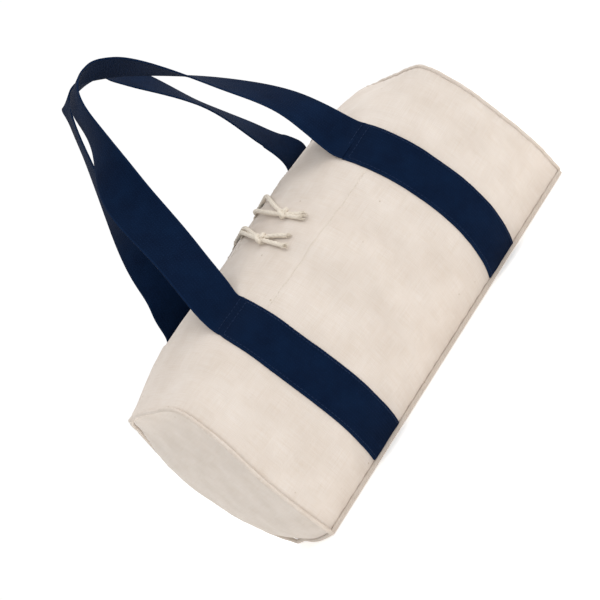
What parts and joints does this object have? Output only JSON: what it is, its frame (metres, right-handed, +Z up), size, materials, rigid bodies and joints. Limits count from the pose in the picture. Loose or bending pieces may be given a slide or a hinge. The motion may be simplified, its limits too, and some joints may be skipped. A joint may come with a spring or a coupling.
{
  "type": "barrel bag",
  "caption": "Soft canvas barrel bag with a drawcord mouth along its ridge, sewn webbing bands and tall webbing carry handles held up together.",
  "frame": {"origin": "middle of the base on the floor it stands on", "axes": "+Z up, +X along the bag to its right end seen from the front, -Y to the front, where the free cords hang"},
  "size_m": [0.4633, 0.2572, 0.4508],
  "materials": {
    "canvas": "matte plain weave cotton canvas",
    "lining": "matte cotton facing and tape",
    "webbing": "matte woven cotton webbing",
    "navy_thread": "matte sewing thread",
    "cream_thread": "matte sewing thread",
    "cord": "matte twisted cotton cord"
  },
  "bodies": {
    "bag": {"front_panel": "canvas", "back_panel": "canvas", "base_panel": "canvas", "left_end_panel": "canvas", "right_end_panel": "canvas", "left_top_strip": "canvas", "right_top_strip": "canvas", "left_end_piping": "canvas", "right_end_piping": "canvas", "front_base_welt": "canvas", "back_base_welt": "canvas", "left_seam_binding": "lining", "right_seam_binding": "lining", "front_facing": "lining", "back_facing": "lining", "front_mouth_hem": "lining", "back_mouth_hem": "lining", "front_left_band": "webbing", "front_right_band": "webbing", "back_left_band": "webbing", "back_right_band": "webbing", "front_left_fold": "webbing", "front_right_fold": "webbing", "back_left_fold": "webbing", "back_right_fold": "webbing", "front_left_edge_stitches": "navy_thread", "front_right_edge_stitches": "navy_thread", "back_left_edge_stitches": "navy_thread", "back_right_edge_stitches": "navy_thread", "front_left_tack_rows": "navy_thread", "front_right_tack_rows": "navy_thread", "back_left_tack_rows": "navy_thread", "back_right_tack_rows": "navy_thread", "front_facing_stitches": "cream_thread", "back_facing_stitches": "cream_thread", "front_hem_stitches": "cream_thread", "back_hem_stitches": "cream_thread", "left_drawcord_run": "cord", "right_drawcord_run": "cord", "left_front_eyelet": "cream_thread", "right_front_eyelet": "cream_thread", "left_back_eyelet": "cream_thread", "right_back_eyelet": "cream_thread"},
    "front_handle": {"front_handle": "webbing"},
    "back_handle": {"back_handle": "webbing"},
    "left_pull": {"left_front_cord": "cord", "left_back_cord": "cord", "left_knot": "cord"},
    "right_pull": {"right_front_cord": "cord", "right_back_cord": "cord", "right_knot": "cord"}
  },
  "joints": [
    {"name": "front_handle_fold", "type": "hinge", "parent": "bag", "child": "front_handle", "pos_m": [0, -0.09867, 0.19833], "axis": [1, 0, 0], "range_deg": [0, 115]},
    {"name": "back_handle_fold", "type": "hinge", "parent": "bag", "child": "back_handle", "pos_m": [0, 0.09867, 0.19833], "axis": [-1, 0, 0], "range_deg": [0, 115]},
    {"name": "left_cord_draw", "type": "slide", "parent": "bag", "child": "left_pull", "axis": [0, -0.84, -0.5426], "range_m": [0, 0.04], "deforming": ["left_front_cord", "left_back_cord"]},
    {"name": "right_cord_draw", "type": "slide", "parent": "bag", "child": "right_pull", "axis": [0, -0.84, -0.5426], "range_m": [0, 0.04], "deforming": ["right_front_cord", "right_back_cord"]}
  ]
}
